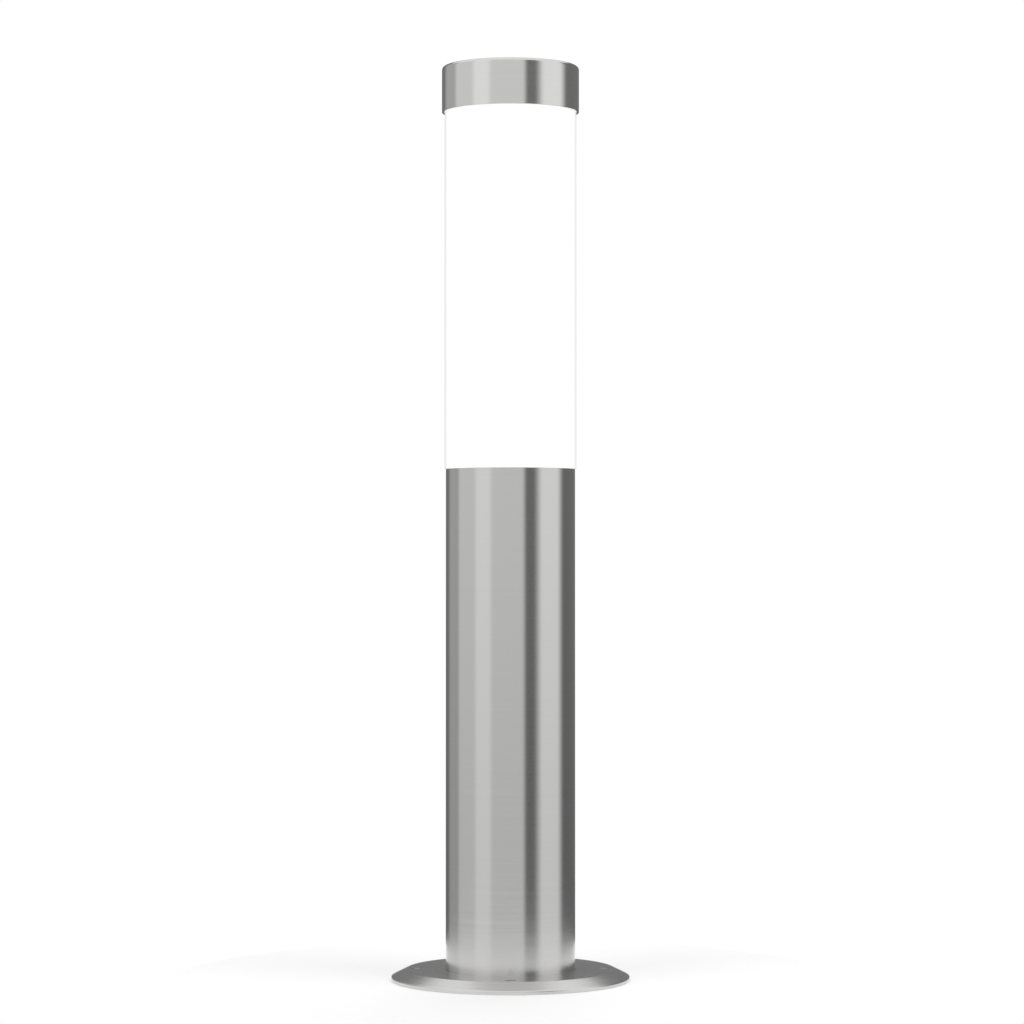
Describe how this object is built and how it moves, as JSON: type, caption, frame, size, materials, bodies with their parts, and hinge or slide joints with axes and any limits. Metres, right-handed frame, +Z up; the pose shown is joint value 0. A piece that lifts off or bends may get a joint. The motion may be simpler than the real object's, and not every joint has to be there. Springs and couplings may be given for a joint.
{
  "type": "bollard light",
  "caption": "Round steel bollard light on a screw-down flange, with a lit opal tube under a steel cap and a screw-in lamp inside.",
  "frame": {"origin": "centre of the ground plane, on the post's axis", "axes": "+Z up along the post; the lock screws are at the +Y side, and the front is -Y"},
  "size_m": [0.14, 0.14, 0.537],
  "materials": {
    "brushed_stainless": "brushed round the axis, satin",
    "weld_bead": "dressed weld with heat tint",
    "turned_aluminium": "turned",
    "seal_rubber": "matt moulded",
    "stainless_screw": "machined",
    "zinc_sheet": "zinc plated sheet",
    "zinc_screw": "zinc plated",
    "rivet_aluminium": "as drawn",
    "terminal_plastic": "moulded polyamide",
    "contact_brass": "stamped or turned",
    "tinned_copper": "tinned",
    "black_nylon": "moulded nylon",
    "wire_brown": "extruded insulation",
    "wire_blue": "extruded insulation",
    "wire_green_yellow": "extruded insulation, striped",
    "holder_black": "moulded phenolic",
    "holder_ceramic": "pressed steatite",
    "nickel_sheet": "nickel plated sheet",
    "lamp_black_glass": "glassy insulator",
    "lamp_white_plastic": "moulded",
    "lamp_opal": "opal, satin",
    "board_white": "white solder resist",
    "led_yellow": "phosphor",
    "board_green": "solder resist",
    "opal_diffuser": "opal, lit from inside",
    "collar_white": "moulded",
    "liner_white": "moulded reflector"
  },
  "bodies": {
    "post": {"base_flange": "brushed_stainless", "post_tube": "brushed_stainless", "base_weld": "weld_bead", "neck_ring": "turned_aluminium", "head_gasket": "seal_rubber", "tray_plate": "zinc_sheet", "tray_screws": "zinc_screw", "tray_strap": "zinc_sheet", "strap_rivets": "rivet_aluminium", "terminal_block": "terminal_plastic", "terminal_barrels": "contact_brass", "terminal_screws": "zinc_screw", "block_screws": "zinc_screw", "cord_clamp": "black_nylon", "cord_clamp_screws": "zinc_screw", "earth_screw": "contact_brass", "earth_nut": "contact_brass", "earth_terminal": "tinned_copper", "wire_live": "wire_brown", "wire_neutral": "wire_blue", "wire_earth": "wire_green_yellow", "holder_nipple": "zinc_screw", "holder_washer": "zinc_screw", "holder_nut": "zinc_screw", "holder_dome": "holder_black", "holder_skirt": "holder_black", "holder_insert": "holder_ceramic", "holder_socket": "nickel_sheet", "holder_contact": "contact_brass"},
    "head": {"opal_tube": "opal_diffuser", "collar": "collar_white", "collar_spigot": "turned_aluminium", "top_gasket": "seal_rubber", "cap_liner": "liner_white", "cap_shell": "brushed_stainless", "cap_stud": "stainless_screw", "cap_washer": "stainless_screw", "cap_nut": "stainless_screw"},
    "lamp": {"lamp_tip": "contact_brass", "lamp_insulator": "lamp_black_glass", "lamp_shell": "nickel_sheet", "lamp_housing": "lamp_white_plastic", "lamp_globe": "lamp_opal", "led_board": "board_white", "leds": "led_yellow", "lamp_driver": "board_green"},
    "lock_screw_right": {"lock_screw_right": "stainless_screw"},
    "lock_screw_left": {"lock_screw_left": "stainless_screw"}
  },
  "joints": [
    {"name": "head_lift", "type": "slide", "parent": "post", "child": "head", "axis": [0, 0, 1], "range_m": [0, 0.16]},
    {"name": "lamp_out", "type": "slide", "parent": "post", "child": "lamp", "axis": [0, 0, 1], "range_m": [0, 0.0362]},
    {"name": "lock_screw_right_out", "type": "slide", "parent": "post", "child": "lock_screw_right", "axis": [0.5, 0.866, 0], "range_m": [0, 0.0014]},
    {"name": "lock_screw_left_out", "type": "slide", "parent": "post", "child": "lock_screw_left", "axis": [-0.5, 0.866, 0], "range_m": [0, 0.0014]}
  ]
}
